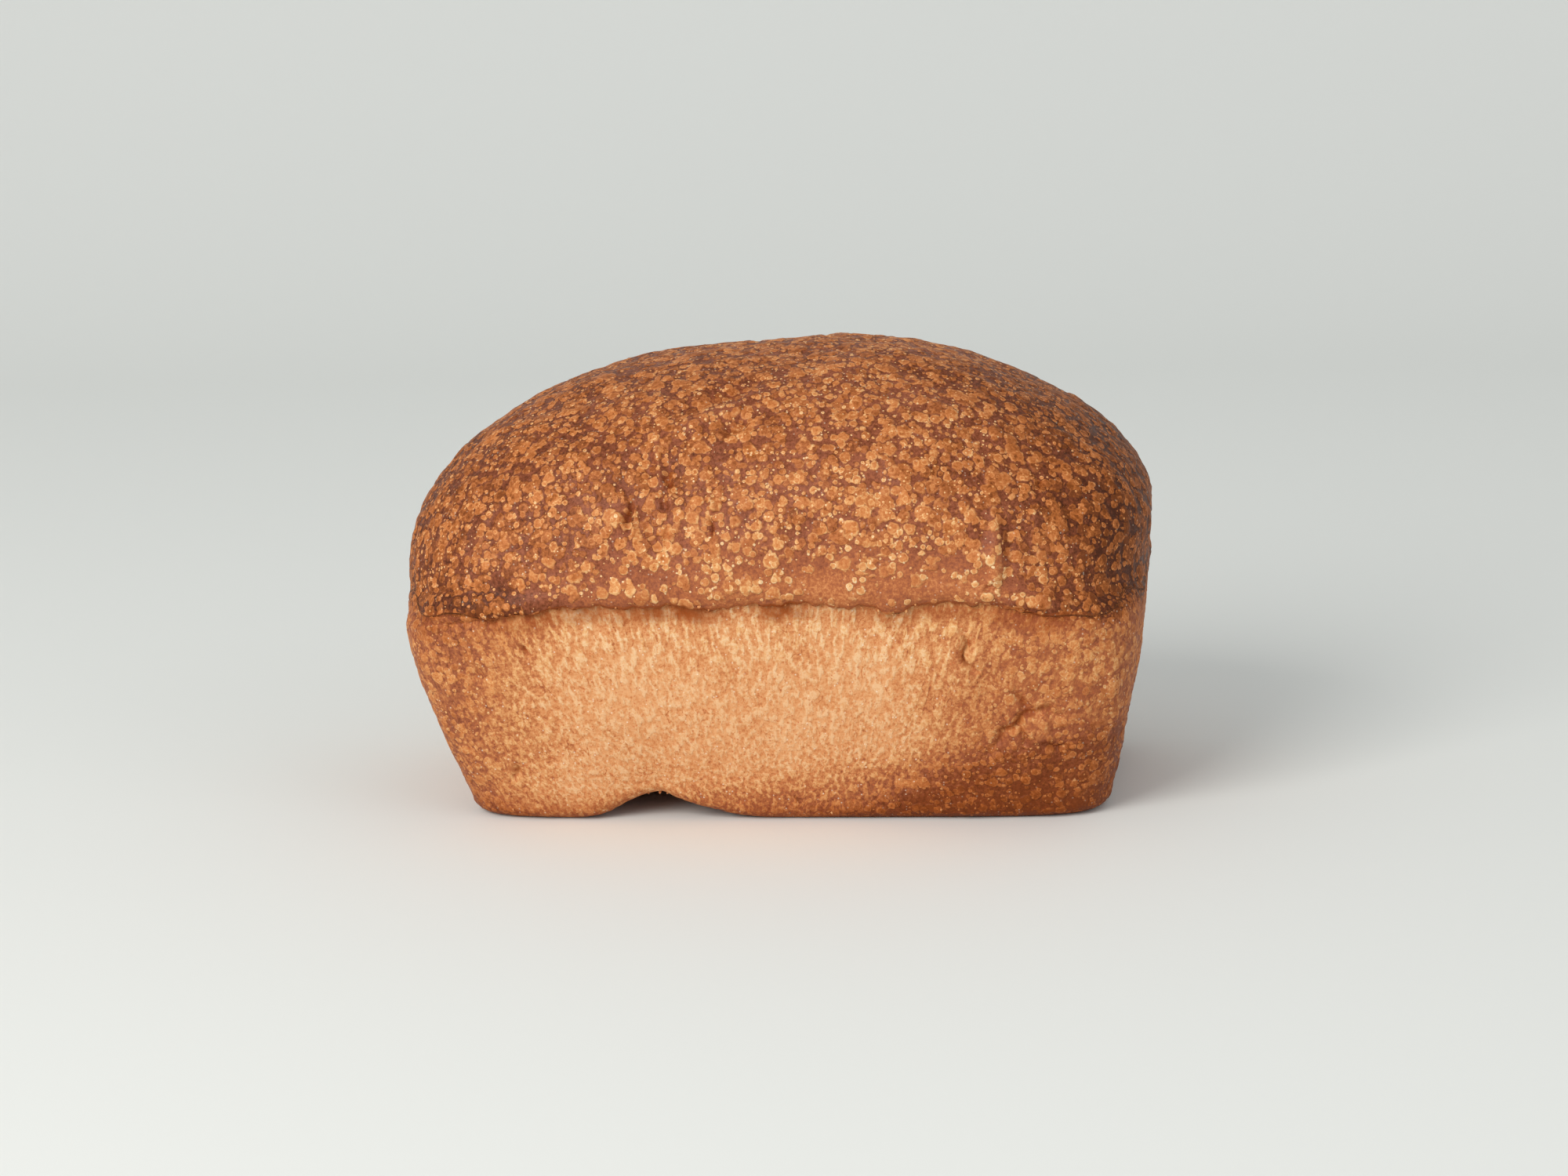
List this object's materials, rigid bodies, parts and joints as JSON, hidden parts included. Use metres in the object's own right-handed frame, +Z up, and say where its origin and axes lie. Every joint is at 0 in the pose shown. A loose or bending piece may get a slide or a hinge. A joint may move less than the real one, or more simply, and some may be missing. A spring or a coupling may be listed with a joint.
{
  "type": "tin loaf",
  "caption": "Whole tin-baked bread loaf with flared walls, a lip that stands over them and a tall domed top, resting on its flat base.",
  "frame": {"origin": "middle of the loaf's length and width, at the flat base", "axes": "+X along the loaf's length, -Y towards its front, +Z up"},
  "size_m": [0.2324, 0.14, 0.1402],
  "materials": {
    "crust": "satin browned bread crust, deep brown and blistered on the dome, pale gold on the walls"
  },
  "bodies": {
    "root": {"loaf": "crust"}
  },
  "joints": []
}
